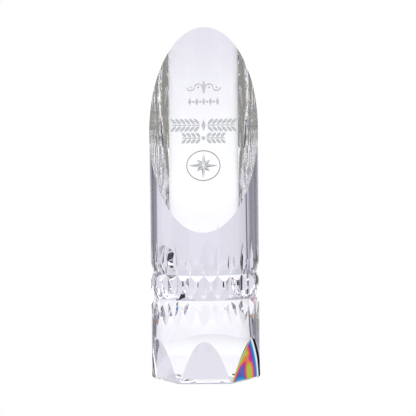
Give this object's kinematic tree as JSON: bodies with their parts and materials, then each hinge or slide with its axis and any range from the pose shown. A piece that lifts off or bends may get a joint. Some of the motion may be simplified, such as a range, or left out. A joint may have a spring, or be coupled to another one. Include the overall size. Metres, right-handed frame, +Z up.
{
  "type": "crystal award",
  "caption": "Solid clear crystal cylinder award with a slanted polished face, enamel-filled engraved ornament, a cut band of pointed flutes between ring grooves, and a faceted base",
  "frame": {"origin": "centre of the flat underside, on the axis of the cylinder", "axes": "+Z up along the cylinder, the slanted face looks to -Y and up, X to the right of someone facing it"},
  "size_m": [0.064, 0.064, 0.2085],
  "materials": {
    "crystal": "clear lead-free optical crystal, cut and polished on every surface",
    "grey_enamel": "mid grey enamel infill, satin",
    "dark_enamel": "dark grey enamel infill, satin",
    "light_enamel": "light silver-grey enamel infill, satin"
  },
  "bodies": {
    "root": {"crystal_column": "crystal", "scroll_enamel": "grey_enamel", "bead_row_enamel": "grey_enamel", "long_garland_enamel": "grey_enamel", "short_garland_enamel": "grey_enamel", "star_ring_enamel": "dark_enamel", "star_dark_enamel": "dark_enamel", "star_light_enamel": "light_enamel"}
  },
  "joints": []
}
